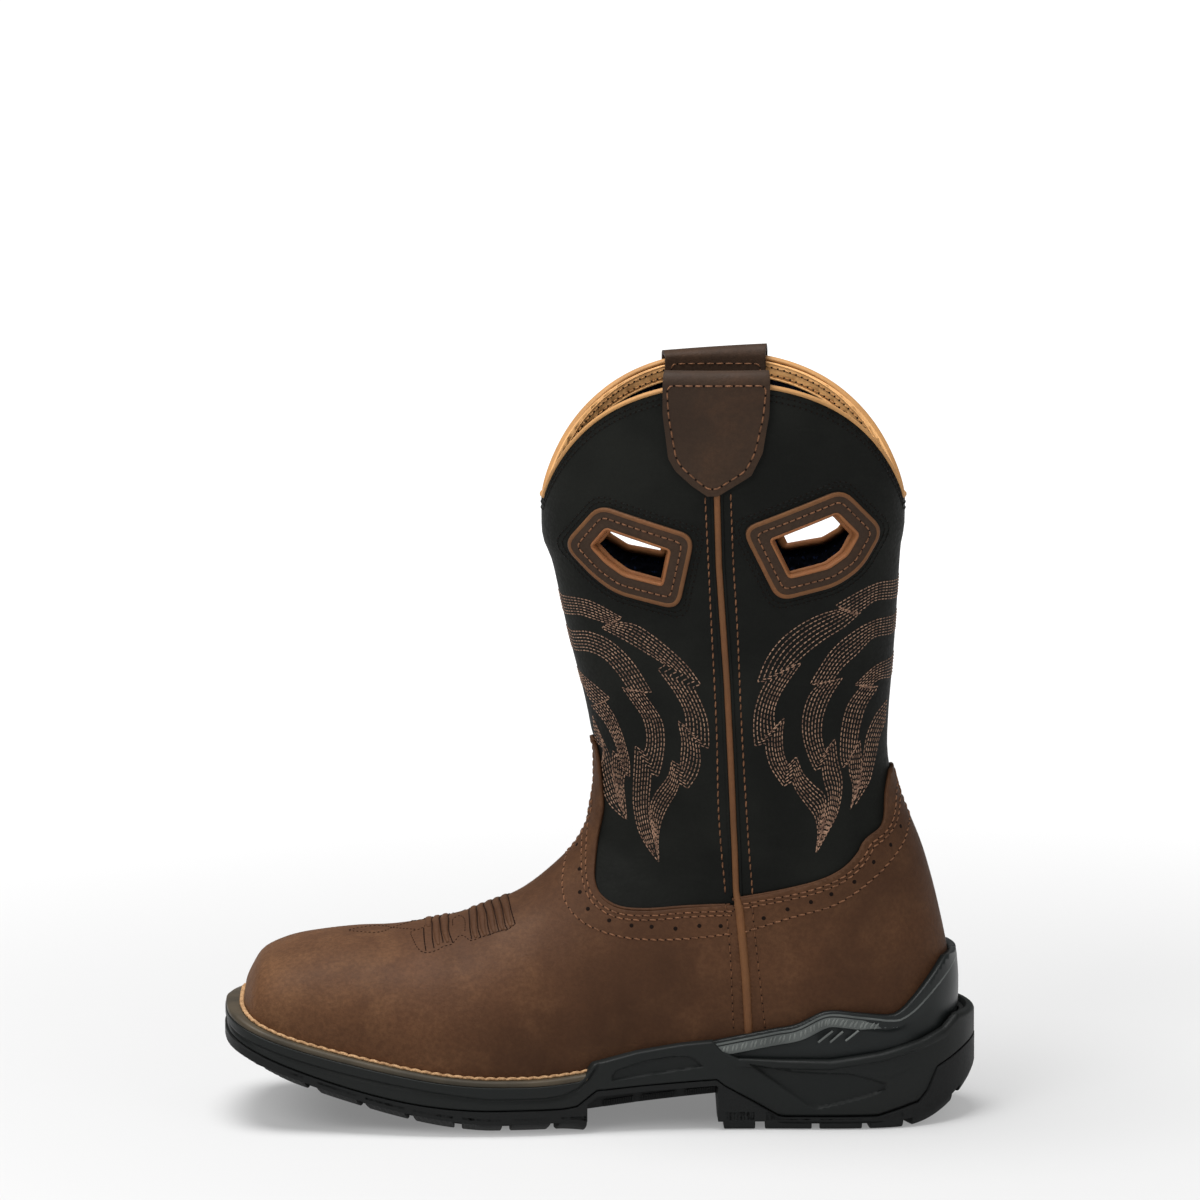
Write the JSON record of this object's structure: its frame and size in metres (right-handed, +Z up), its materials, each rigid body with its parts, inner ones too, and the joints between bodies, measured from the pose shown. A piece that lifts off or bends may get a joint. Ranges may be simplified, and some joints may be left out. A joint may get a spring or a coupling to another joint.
{
  "type": "western work boot",
  "caption": "Pull-on western work boot: square toe, brown vamp and heel counter, black stitched shaft with pull holes and straps, lugged rubber sole with a low heel.",
  "frame": {"origin": "on the floor under the middle of the sole's length and width", "axes": "-X towards the toe, +X towards the heel, -Y towards the outer side of the foot, +Z up the shaft"},
  "size_m": [0.31, 0.111, 0.3146],
  "materials": {
    "brown_leather": "oiled, worn matt",
    "dark_brown_leather": "matt",
    "black_leather": "matt",
    "tan_leather": "smooth",
    "piping_leather": "smooth",
    "midsole_rubber": "satin",
    "tread_rubber": "matt",
    "stabilizer_plastic": "satin",
    "welt_rubber": "satin",
    "footbed_fabric": "woven"
  },
  "bodies": {
    "root": {"outsole": "tread_rubber", "midsole": "midsole_rubber", "heel_stabilizer": "stabilizer_plastic", "welt": "welt_rubber", "insole": "footbed_fabric", "upper": "black_leather", "vamp": "brown_leather", "heel_counter": "brown_leather", "collar_binding": "tan_leather", "collar_facing": "tan_leather", "side_piping_outer": "piping_leather", "side_piping_inner": "piping_leather", "pull_strap_outer": "dark_brown_leather", "pull_strap_inner": "dark_brown_leather", "pull_hole_trim_front_outer": "dark_brown_leather", "pull_hole_trim_front_inner": "dark_brown_leather", "pull_hole_trim_rear_outer": "dark_brown_leather", "pull_hole_trim_rear_inner": "dark_brown_leather"}
  },
  "joints": []
}
